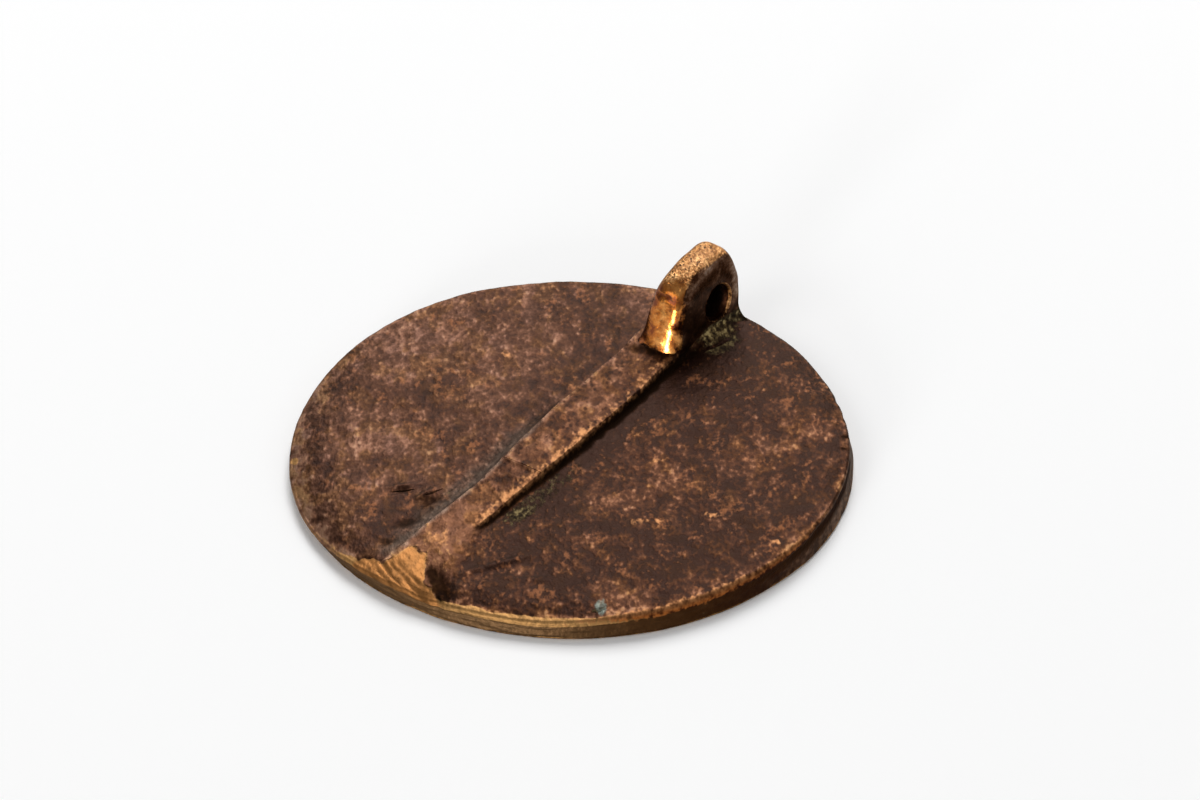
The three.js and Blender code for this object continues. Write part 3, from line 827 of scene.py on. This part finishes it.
def plate_back():
    """Rings out over the back, round the upper edge, down the rim and back in under it."""
    angle = ROUND
    top, low = back_edge(angle), die_edge(angle)
    out = np.concatenate([np.linspace(0.004, 0.955, 118), np.linspace(0.96, 1.0, 9)])[:, None]
    worn_round = EDGE_ROUND
    for more, middle, half_width in ((0.07, 258, 60), (0.05, 40, 60), (0.17, 303, 40)):
        worn_round = worn_round + more * sector(angle, middle, half_width)
    radius = out * (top - worn_round)
    level = back_surface(radius * np.cos(angle), radius * np.sin(angle))

    turn = np.linspace(0, math.pi / 2, 7)[1:, None]
    radius = np.vstack([radius, top - worn_round * (1 - np.sin(turn))])
    level = np.vstack([level, level[-1:] - worn_round * (1 - np.cos(turn))])

    # The wall runs straight between its edges, hollow at the right: the share of the way to a power
    down = np.linspace(0, 1, 16)[1:-1, None]
    hollow = 1 + 1.6 * sector(angle, 345, 60)
    uneven = 0.03 * grain(NOISE_CIRCLE * np.cos(angle), NOISE_CIRCLE * np.sin(angle), 4 * down, 0.8)
    radius = np.vstack([radius, mix(top, low, down**hollow) + uneven])
    level = np.vstack([level, mix(level[-1:], LOWER_ROUND, down)])

    under = np.array([(1.0, 0.08), (0.995, 0.05), (0.985, 0.05), (0.6, 0.4), (0.01, 0.4)])
    under_share, under_level = under.T[..., None]
    radius = np.vstack([radius, low * under_share])
    level = np.vstack([level, under_level + 0 * angle])

    rows = turned(radius, level)
    marks = back_marks(rows[..., 0], rows[..., 1])
    marks |= rim_marks(marks, rows, len(out), len(out) + len(turn))
    return closed_skin("plate_back", patinated, "patinated_alloy", "die_plate", rows, marks)


def rim_marks(marks, rows, edge_ring, wall_ring):
    """The back's marks as the rim changes them. Its rounded edge and its wall begin at these rings."""
    x, y, level = np.moveaxis(rows, -1, 0)
    angle = ROUND
    ring = np.arange(len(rows))[:, None]
    wall = (ring >= wall_ring) * np.ones_like(angle)
    edge = (ring >= edge_ring) * (1 - wall)
    front, right = sector(angle, 255, 55), sector(angle, 345, 55)
    low_right = right * drop(level, 0.4, 0.55)
    steep = between(level, 0.5, 0.66, 0.95, 1.05)

    orange = np.clip(1.8 * sector(angle, 303, 45), 0, 1)
    fading = 0.85 * orange * bell(ring, edge_ring + 2, mix(2.4, 4.0, sector(angle, 285, 30)))
    worn = 0.12 * front + 0.6 * round_rim(angle, RIM_WEAR) * (ring < wall_ring + 1)
    green = 0.1 + 0.28 * front + 0.5 * spot(x, y, (11.5, -6.3), (0.3, 0.3))
    differs = round_rim(angle, WALL, 2) * (1 - 0.7 * right * drop(level, 0.35, 0.5))
    marks = marks | {"smooth": 0.5 * edge * sector(angle, 60, 70) + (1 - edge) * marks["smooth"]}
    # On the wall, the dirt mark at the right paints shade with dirt on its steep upper part.
    on_wall = {
        "worn": worn, "dirt_and_shade": 0.55 * right * steep, "green": green,
        "tone_and_painted_light": 0.3 * low_right - 0.05, "smooth": 0.7 * low_right,
    }
    return {key: np.where(wall > 0, level, marks[key]) for key, level in on_wall.items()} | {
        "orange": np.maximum(marks["orange"] * (1 - wall), fading),
        "wall": orange * ease(ring, edge_ring, edge_ring + 5) * (1 - wall) + wall * differs,
        "pale": wall * round_rim(angle, WALL),
    }


def cell_place(radius, angle, count, middle, offset=0.0):
    """The nearest of evenly spaced places round the face, and the distances along and across from its
    middle, which lies at this radius. The offset, in places, moves all the middles on."""
    pitch = 2 * math.pi / count
    cell = np.round(angle / pitch - offset)
    turn = angle - (cell + offset) * pitch
    return cell, radius * np.cos(turn) - middle, radius * np.sin(turn)


def bowl(along, across, size):
    """Depth of a round hollow: a ball of this radius pressed in to its middle."""
    return np.sqrt(np.clip(size**2 - along**2 - across**2, 0, 1))


def cut_depth(x, y):
    """Depth of the design cut into the die face: two borders, a ring of lozenges and pellets with a cross,
    eight petals with pellets between them, and a ringed eye."""
    radius, angle = np.hypot(x, y), np.arctan2(y, x) - math.pi / 2
    depth = 0 * radius
    for inner in BORDER_RADII:
        away = np.abs(radius - inner - BORDER_HALF)
        depth = np.maximum(depth, CUT_DEPTH * drop(away, 0.06, 0.19))

    cell, along, across = cell_place(radius, angle, LEGEND_SIGNS, LEGEND_RADIUS)
    far, near = np.maximum(np.abs(along), np.abs(across)), np.minimum(np.abs(along), np.abs(across))
    lozenge = 0.44 * np.clip(1 - (far + near) / LOZENGE_HALF, 0, 1)
    pattern = np.where(cell % 2 == 1, lozenge, bowl(along, across, PELLET_RADIUS))
    arm = 0.15 + 0.26 * far / CROSS_ARM
    cross = CUT_DEPTH * drop(far, 0.86, 0.98) * drop(near, arm - 0.05, arm + 0.05)
    depth = np.maximum(depth, np.where(cell % LEGEND_SIGNS == 0, cross, pattern))

    cell, along, across = cell_place(radius, angle, PETALS, PETAL_MIDDLE)
    petal = bowl(along / PETAL_LENGTH, across / PETAL_WIDTH, 1)
    vein = bell(across, 0, 0.09) * drop(np.abs(along), 1.2, 2.2)
    depth = np.maximum(depth, (CUT_DEPTH - 0.1 * vein) * petal)
    cell, along, across = cell_place(radius, angle, PETALS, INNER_PELLETS, 0.5)
    depth = np.maximum(depth, bowl(along, across, PELLET_RADIUS))
    return np.maximum(depth, bowl(radius - EYE_RADIUS, 0, EYE_GROOVE))


def die_face():
    """Rings from inside the plate round its lower edge and in over the cut face to the middle."""
    low = die_edge(ROUND)
    inside_share, inside_level = np.array([(0.01, 0.45), (0.5, 0.45), (0.985, 0.25)]).T[..., None]
    turn = np.linspace(0, math.pi / 2, 6)[:, None]
    corner = low - LOWER_ROUND * (1 - np.cos(turn))
    inward = np.linspace(1, 0.0005, 136)[1:, None] * (low - LOWER_ROUND)
    x, y = inward * np.cos(ROUND), inward * np.sin(ROUND)
    cut = cut_depth(x, y)
    face = cut + 0.006 * (1 + grain(x, y, 9.0, 0.7)) * (cut > 0.01)
    radius = np.vstack([inside_share * low, corner, inward])
    level = np.vstack([inside_level + 0 * ROUND, LOWER_ROUND * (1 - np.sin(turn)) + 0 * ROUND, face])
    on_face = np.arange(len(level))[:, None] >= len(inside_share) + len(turn)
    marks = {"dirt_and_shade": 0.75 * ease(level, 0.08, 0.4) * on_face, "worn": 0.55, "tone_and_painted_light": 0.05}
    return closed_skin("die_face", patinated, "patinated_alloy", "die_plate", turned(radius, level), marks)


# Strip, toe and hollow run: patches of the back's own surface, closed below it

def sunk_patch(x, y, top, floor, marks, *skin):
    """A closed skin from a patch of the back and its floor below it, each row a ring over both."""
    rows = np.concatenate([np.stack([x, y, top], -1), np.stack([x, y, floor], -1)[:, ::-1]], axis=1)
    marks = {key: np.concatenate([level, level[:, ::-1]], axis=1) for key, level in marks.items()}
    return closed_skin(*skin, rows, marks)


def back_patch(left, right, across, along, *skin):
    """A patch of the back between two edges, which are functions of y. Its top follows the back."""
    y = along[:, None]
    x = mix(left(y), right(y), across[None, :])
    y = y + 0 * x
    top = back_surface(x, y)
    return sunk_patch(x, y, top, np.minimum(SUNK_LEVEL, top - 0.15), back_marks(x, y), *skin)


def lug_outline(count):
    """The lug's side view as distances from the hole's middle, by angle: a smooth closed curve through its
    corners, between each two of them a cubic in the share of the way."""
    corners = LUG_CORNERS - (HOLE_Y, HOLE_Z)
    before, after, far = np.roll(corners, 1, 0), np.roll(corners, -1, 0), np.roll(corners, -2, 0)
    t = np.linspace(0, 1, 200, endpoint=False)[None, :, None]
    p0, p1, p2, p3 = (c[:, None, :] for c in (before, corners, after, far))
    cubic = (2 * p0 - 5 * p1 + 4 * p2 - p3) * t**2 + (3 * p1 - p0 - 3 * p2 + p3) * t**3
    curve = 0.5 * (2 * p1 + (p2 - p0) * t + cubic).reshape(-1, 2)
    bearing = np.arctan2(curve[:, 1], curve[:, 0])
    order = np.argsort(bearing)
    angle = np.linspace(-math.pi, math.pi, count, endpoint=False)
    distance = np.hypot(curve[:, 0], curve[:, 1])
    return angle, np.interp(angle, bearing[order], distance[order], period=2 * math.pi)


def lug_reach(y, z, side):
    """How far a flank stands from the lug's middle. It grows straight from front to rear, shrinks by the
    square of the way up, and flares at the foot as a falling exponential."""
    share = (y - LUG_FRONT_Y) / LUG_LENGTH
    up = np.clip((z - 1.9) / 2.9, 0, 1) ** 2
    foot = np.exp(-np.clip(z - 1.3, 0, 9) / 0.28)
    rear = ease(y, 9.5, 12.0)
    if side > 0:
        heel = 0.2 * drop(z, 1.9, 3.0) * drop(share, 0.0, 0.4)
        return mix(0.82, 1.33, share) - mix(0.06, 0.26, share) * up + (0.06 + 0.55 * rear) * foot + heel
    web = 0.45 * np.exp(-np.clip(z - 1.4, 0, 9) / 0.45) * bell(y, 7.7, 0.7)
    return mix(0.9, 1.25, share) - mix(0.06, 0.62, share) * up + (0.1 + 0.3 * rear) * foot + web


def lug_half(side, reach, across_y, across_z, low_front):
    """Half of the lug's sections, in rows by angle: distances from the hole's middle and from the lug's
    middle, along the hole, out of its mouth, over the flank, round the shoulder and in over the rim."""
    def flank(radius):
        """How far out the flank stands at this distance from the hole's middle."""
        return lug_reach(HOLE_Y + radius * across_y, HOLE_Z + radius * across_z, side)

    limit = flank(reach)
    rear_top = ease(across_z, 0.3, 0.9) * ease(across_y, -0.5, 0.3)
    roundness = 0.12 + 0.22 * ease(-across_y, 0.1, 0.8) + 0.26 * rear_top
    bevel, low = (0, 0) if side < 0 else (ease(across_z, 0.0, 0.6) * ease(-across_y, -0.3, 0.3), low_front)
    sharp = np.minimum(roundness + 0.16 * bevel + 0.24 * low, 0.8 * limit)
    shoulder = np.minimum(roundness * 1.8 + 0.06 * bevel + 0.6 * low, 0.95 * limit)
    bulge = 0.04 + 0.02 * across_z + 0.08 * low_front

    share = np.linspace(0, 1, 7)[None, :]
    bore = HOLE_RADIUS + 0 * share * reach
    bore_depth = share * (lug_reach(HOLE_Y, HOLE_Z, side) - MOUTH_DEPTH) + 0 * reach
    share = share[:, 1:]
    mouth = mix(HOLE_RADIUS, MOUTH_RADIUS, 0.4 * share**2 + 0.6 * share) + 0 * reach
    mouth_depth = flank(mouth) - (MOUTH_DEPTH + 0.03) * (1 - share)
    face = mix(MOUTH_RADIUS, reach - sharp, np.linspace(0, 1, 40)[None, 1:])
    turn = np.linspace(0, math.pi / 2, 10)[None, 1:]
    round_depth = limit - shoulder * (1 - np.cos(turn))
    rounded = reach - sharp * (1 - np.sin(turn)) + bulge * (1 - (round_depth / limit) ** 2)
    outer_depth = (limit - shoulder) * np.linspace(1, 0, 16)[None, 1:]
    outer = reach + bulge * (1 - (outer_depth / limit) ** 2)
    depths = [bore_depth, mouth_depth, flank(face), round_depth, outer_depth]
    return np.concatenate([bore, mouth, face, rounded, outer], axis=1), side * np.concatenate(depths, axis=1)


def lug_marks(x, y, z, radius, reach, dent):
    """The lug's marks: bright wear in front and on the crest, painted shade in the hole, dirt and painted
    shade at the foot, painted light on the hole's rear rim and along the right flank's top rear edge, painted
    shade on the front's left, and green.
    """
    out = radius / reach
    fine = grain(x, y, z, 0.35)
    front = ease(-y, -9.6, -8.6) * ease(z, 1.5, 1.8)
    behind = ease(y, 12.1, 12.6)
    top = ease(z + 0.3 * behind * grain(x, y, z, 0.5), mix(3.75, 2.9, behind), mix(4.35, 5.1, behind))
    bright_to = np.interp(y, *LUG_BRIGHT.T)
    beyond = ease(x + 0.06 * fine, bright_to - 0.16, bright_to + 0.3)
    web = ease(-x, 1.25, 1.5) * drop(z, 1.7, 2.2)
    worn = ease(out, 0.88, 0.97) * np.maximum(front, top) * (1 - 0.6 * beyond) * (1 - 0.6 * web)
    worn = np.maximum(worn, 0.48 * ease(out, 0.7, 0.92) * front)
    buried = drop(z + 0.2 * fine, 1.64, 2.02) * drop(x, -0.6, 0.3)
    worn = worn * (1 - 0.7 * buried)

    crest_start = y - 0.3 * ease(x, -1.2, -0.6) + 0.25 * grain(x, y, z, 0.3)
    crest = ease(z, mix(3.75, 2.2, ease(y, 11.5, 12.2)), 4.35) * ease(crest_start, 8.7, 9.15)
    past_bore, past_mouth = radius - HOLE_RADIUS, radius - MOUTH_RADIUS
    opening = ease(past_bore, 0.06, 0.12) * drop(past_mouth, -0.01, 0.06)
    # The mouth's rim is paler towards the rear: painted light on the hole's lit inner wall, over its wear.
    rear_side = (y - HOLE_Y + 0.3 * (z - HOLE_Z)) / radius
    # Painted light: a paler band along the right flank's upper edge and the rear, where light from behind
    # falls.
    rear = 0.8 * ease(z, 3.5, 4.3) * ease(out, 0.72, 0.95)
    rear = np.maximum(rear, ease(y, 11.95, 12.45) * ease(z, 2.0, 3.0))
    # Dirt and painted shade at the foot of the lug's front.
    foot = 0.9 * drop(z + 0.15 * fine, 1.62, 1.76) * (y < 9)
    # Painted shade: the bore is drawn near black.
    inside = 0.95 * drop(past_bore, -0.01, 0.03)
    return {
        "worn": np.maximum(worn, opening * (0.42 + 0.38 * ease(rear_side, 0.2, 0.9))),
        "crest": np.maximum(crest, opening),
        # Painted shade: the left of the golden front is drawn darker.
        "shaded": ease(-x, 0.35, 1.1),
        "rear": ease(x, 0.05, 0.45) * rear,
        "dirt_and_shade": np.clip(inside + 10 * dent + foot, 0, 1),
        "green": 0.8 * ease(x, 0.0, 0.6) * drop(z, 1.75, 2.15) * ease(y, 9.4, 10.2),
    }


def lug():
    """Sections in rows round the cord hole, each over the right half and back over the left."""
    angle, reach = (row[:, None] for row in lug_outline(360))
    across_y, across_z = np.cos(angle), np.sin(angle)
    low_front = ease(-across_z, -0.1, 0.25) * ease(-across_y, 0.2, 0.5)
    right, left = (lug_half(side, reach, across_y, across_z, low_front) for side in (1, -1))
    radius, away = (np.concatenate([to, back[:, -2:0:-1]], axis=1) for to, back in zip(right, left))
    x, y, z = LUG_MIDDLE + away, HOLE_Y + radius * across_y, HOLE_Z + radius * across_z
    rough = 0.05 * grain(x, y, z, 1.1) + 0.022 * grain(x, y, z, 0.4)
    dent = 0.05 * bell(x, -0.8, 0.38) * bell(z, 4.1, 0.1) * (y < 9.5)
    radius = radius + rough * ease(radius, 1.0, 1.6) - dent
    y, z = HOLE_Y + radius * across_y, HOLE_Z + radius * across_z
    marks = lug_marks(x, y, z, radius, reach, dent)
    rows = np.stack([x, y, z], -1)
    return closed_skin("lug", worn_lug, "worn_alloy", "suspension_lug", rows, marks, closed_rows=True)


def lug_foot(name, side, width, height, stands_for):
    """A granular run of metal along one flank of the lug's foot. It falls from the flank out to the plate by
    the share of the way left to the power 2.2, and swells and ends as a power of a half sine wave."""
    along = np.linspace(0, 1, 110)[:, None]
    out = np.linspace(-0.25, 1, 44)[None, :]
    y = mix(8.3, 12.3, along) + 0 * out
    swell = np.sin(math.pi * along**1.4) ** 0.7
    flank = lug_reach(y, 1.9, side) + side * LUG_MIDDLE
    x = side * (flank + width * out * mix(0.5, 1, swell))
    rise = height * swell * (1 - np.clip(out, 0, 1)) ** 2.2 - 0.04 * ease(out, 0.85, 1)
    lumps = 0.06 * grain(x, y, 2.0, 0.32) + 0.035 * grain(x, y, 3.0, 0.15)
    top = back_rise(x, y) + rise + lumps * swell * between(out, -0.1, 0.1, 0.75, 1)
    marks = back_marks(x, y) | {
        "green": 0.85 * swell * drop(out, 0.5, 1.0) + 0 * x,
        "worn": 0 * x,
        # Painted shade with dirt: the right foot is dark towards its front, under the lug's flank.
        "dirt_and_shade": 0.6 * drop(y, 8.6, 9.6) * (side > 0) + 0 * x,
    }
    return sunk_patch(x, y, top, SUNK_LEVEL + 0 * x, marks, name, corroded, "corroded_fillet", stands_for)


plate_back()
die_face()

# Points across the strip stand closer towards its edges
STRIP_ACROSS = 0.5 - 0.5 * np.cos(np.linspace(0, math.pi, 64))
back_patch(
    strip_left, lambda y: strip_right(y) + 0.15,
    STRIP_ACROSS, np.linspace(CREASE_Y, LUG_FRONT_Y + 0.6, 200),
    "strip", patinated, "patinated_alloy", "back_rib",
)
back_patch(
    strip_left, lambda y: strip_right(y) + mix(0.15, 1.0, ease(-y, 6.9, 9.2)),
    STRIP_ACROSS, np.linspace(-12.4, CREASE_Y, 190),
    "filed_toe", filed, "filed_alloy", "rib_filed_toe",
)
back_patch(
    lambda y: strip_left(y) - hollow_width(y), strip_left,
    np.linspace(0, 1, 30), np.linspace(-12.0, LUG_FRONT_Y + 0.4, 260),
    "strip_side_run", corroded, "corroded_fillet", "rib_fillet",
)
lug()
lug_foot("lug_foot_right", 1, 1.05, 0.45, "lug_fillet_right")
lug_foot("lug_foot_left", -1, 0.75, 0.75, "lug_fillet_left")


# Floor, light and camera, in metres

TABLE_WHITE = 0.8
TABLE_SEEN = 0.965
TABLE_LIFT = 0.03
TABLE_FLAT, TABLE_EDGE, TABLE_RISE = 1.0, 1.5, 0.3
TABLE_POINTS = 96
TABLE_GAP = 0.00002


def table_finish():
    """Matt white, which the camera sees whiter and a little lifted, with the shadow kept. Far out it is a
    white backdrop for the camera and for reflections."""
    f = Finish("white_table")
    lit, seen, full = ((level, level, level, 1) for level in (TABLE_WHITE, TABLE_SEEN, 1))
    matt = f.node("BsdfDiffuse", {"Color": lit, "Roughness": 0.0})[0]
    bright = f.node("BsdfDiffuse", {"Color": seen, "Roughness": 0.0})[0]
    glow = f.node("Emission", {"Color": full, "Strength": TABLE_LIFT})[0]
    lifted = f.node("AddShader", {0: bright, 1: glow})[0]
    backdrop = f.node("Emission", {"Color": full, "Strength": 1.0})[0]
    ray = f.node("LightPath")
    near = f.node("MixShader", {0: ray["Is Camera Ray"], 1: matt, 2: lifted})[0]
    looked_at = f.sum(0.0, *((ray[f"Is {kind} Ray"], 1.0) for kind in ("Camera", "Glossy", "Transmission")))
    share = f.times(f.step(f.far_from_middle(f.bare_place), 0.2, 0.5), looked_at)
    return f.ended(f.node("MixShader", {0: share, 1: near, 2: backdrop})[0])


def floor():
    """A white table, flat for a metre, whose edge curves up all round by the eased share of the way out."""
    angle = np.linspace(0, 2 * math.pi, TABLE_POINTS, endpoint=False)[None, :]
    radius = np.concatenate([[0.3, TABLE_FLAT], np.linspace(1.05, TABLE_EDGE, 12)])[:, None]
    rows = turned(radius, TABLE_RISE * ease(radius, TABLE_FLAT, TABLE_EDGE) - TABLE_GAP, angle)
    faces = [list(range(TABLE_POINTS))] + face_rows(len(rows), TABLE_POINTS, False).tolist()
    mesh = bpy.data.meshes.new("floor")
    mesh.from_pydata(rows.reshape(-1, 3).tolist(), [], faces)
    mesh.materials.append(table_finish())
    table = in_scene("floor", mesh)


def aimed(thing, place):
    """Puts a lamp or a camera in its place, facing the object."""
    thing.location = place
    thing.rotation_euler = (-place).to_track_quat("-Z", "Y").to_euler()


def soft_light(name, direction, distance, size, power):
    """A square lamp that faces the object from a direction of the photograph's view: right, away, up."""
    lamp = bpy.data.lights.new(name, "AREA")
    lamp.size, lamp.energy = size, power
    thing = in_scene(name, lamp)
    thing.visible_camera = False
    aimed(thing, Matrix.Rotation(VIEW_TURN, 3, "Z") @ Vector(direction).normalized() * distance)


def camera():
    """The photograph's view: 36.5 degrees up, 205 mm off, on a long lens, its middle moved by 29 and 62 of
    the picture's 1200 points."""
    lens = bpy.data.cameras.new("camera")
    lens.lens, lens.sensor_width = 134.4, 36
    lens.shift_x, lens.shift_y = 29 / 1200, 62 / 1200
    lens.clip_start, lens.clip_end = 0.01, 20
    thing = in_scene("camera", lens)
    up = math.radians(36.5)
    place = Vector((0, -0.205 * math.cos(up), 0.205 * math.sin(up)))
    aimed(thing, Matrix.Rotation(VIEW_TURN, 3, "Z") @ place)
    bpy.context.scene.camera = thing


floor()
soft_light("window_light", (0.08, 0.77, 0.78), 0.9, 0.5, 6.8)
soft_light("front_fill", (-0.6, -0.62, 0.62), 0.7, 0.3, 0.6)
soft_light("glint", (-0.43, -0.9, 0.12), 0.5, 0.11, 1.1)
world = bpy.data.worlds.new("studio")
world.use_nodes = True
sky = world.node_tree.nodes["Background"].inputs
sky["Color"].default_value, sky["Strength"].default_value = (1, 1, 1, 1), 0.3
bpy.context.scene.world = world
camera()
bpy.context.scene.view_settings.view_transform = "Standard"
